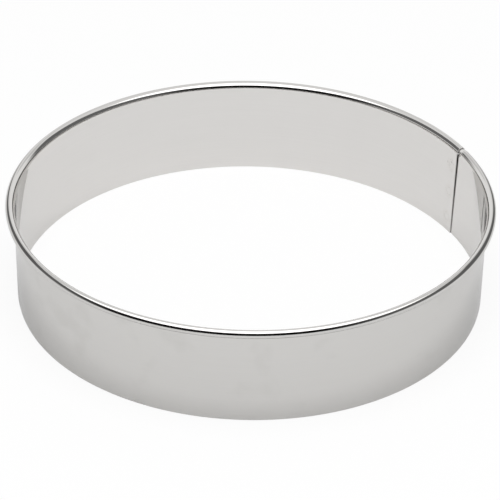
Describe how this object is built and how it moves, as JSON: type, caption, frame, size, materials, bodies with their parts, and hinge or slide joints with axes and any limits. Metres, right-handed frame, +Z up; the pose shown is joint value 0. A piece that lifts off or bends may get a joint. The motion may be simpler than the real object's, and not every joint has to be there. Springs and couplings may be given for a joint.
{
  "type": "round pastry cutter",
  "caption": "Large plain round pastry cutter: a bright steel strip rolled into a ring with a lapped, spot-welded seam, a curled wired rim and a sharpened lower edge.",
  "frame": {"origin": "on the ring's axis, in the plane of the cutting edge", "axes": "+Z up along the ring's axis, from the cutting edge to the rim; -Y is the front as pictured; the seam is on the right towards the back, about 25 degrees from +X towards +Y"},
  "size_m": [0.1662, 0.1662, 0.0355],
  "materials": {
    "sheet_steel": "bright cold-rolled sheet, close to a mirror, with faint handling smudges",
    "wire_steel": "drawn wire, dull",
    "weld_steel": "pressed spot weld, matt with a faint grey-brown heat ring"
  },
  "bodies": {
    "root": {"cutter_band": "sheet_steel", "rim_wire": "wire_steel", "spot_weld_lower": "weld_steel", "spot_weld_middle": "weld_steel", "spot_weld_upper": "weld_steel"}
  },
  "joints": []
}
